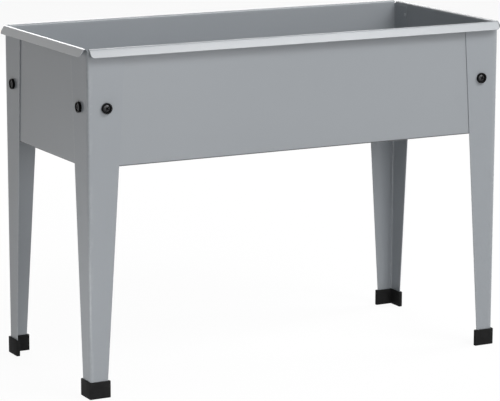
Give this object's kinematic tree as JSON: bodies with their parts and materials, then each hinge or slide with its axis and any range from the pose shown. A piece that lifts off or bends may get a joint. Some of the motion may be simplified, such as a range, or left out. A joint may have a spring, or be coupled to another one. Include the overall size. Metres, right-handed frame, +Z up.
{
  "type": "raised planter on legs",
  "caption": "Rectangular open-topped sheet-metal planting trough with folded rim lips, carried at working height on tapered angle legs with black foot caps.",
  "frame": {"origin": "on the ground, midway between the legs: the middle of the bottom of the bounding box", "axes": "+X along the trough to the right, +Y from the front to the back, +Z up"},
  "size_m": [1.1, 0.5, 0.79],
  "materials": {
    "panel_coat": "satin grey powder coat on steel sheet",
    "leg_coat": "satin grey powder coat on steel sheet",
    "floor_coat": "satin grey powder coat on steel sheet",
    "foot_plastic": "matt black moulded plastic",
    "black_fastener": "black coated steel, slightly glossy",
    "zinc": "bright zinc plate"
  },
  "bodies": {
    "root": {"front_panel": "panel_coat", "back_panel": "panel_coat", "left_panel": "panel_coat", "right_panel": "panel_coat", "floor": "floor_coat", "left_brace": "floor_coat", "middle_brace": "floor_coat", "right_brace": "floor_coat", "front_left_leg": "leg_coat", "front_right_leg": "leg_coat", "back_left_leg": "leg_coat", "back_right_leg": "leg_coat", "front_left_foot": "foot_plastic", "front_right_foot": "foot_plastic", "back_left_foot": "foot_plastic", "back_right_foot": "foot_plastic", "front_left_long_bolt": "black_fastener", "front_left_long_washer": "black_fastener", "front_left_long_nut": "zinc", "front_left_end_bolt": "black_fastener", "front_left_end_washer": "black_fastener", "front_left_end_nut": "zinc", "front_right_long_bolt": "black_fastener", "front_right_long_washer": "black_fastener", "front_right_long_nut": "zinc", "front_right_end_bolt": "black_fastener", "front_right_end_washer": "black_fastener", "front_right_end_nut": "zinc", "back_left_long_bolt": "black_fastener", "back_left_long_washer": "black_fastener", "back_left_long_nut": "zinc", "back_left_end_bolt": "black_fastener", "back_left_end_washer": "black_fastener", "back_left_end_nut": "zinc", "back_right_long_bolt": "black_fastener", "back_right_long_washer": "black_fastener", "back_right_long_nut": "zinc", "back_right_end_bolt": "black_fastener", "back_right_end_washer": "black_fastener", "back_right_end_nut": "zinc"}
  },
  "joints": []
}
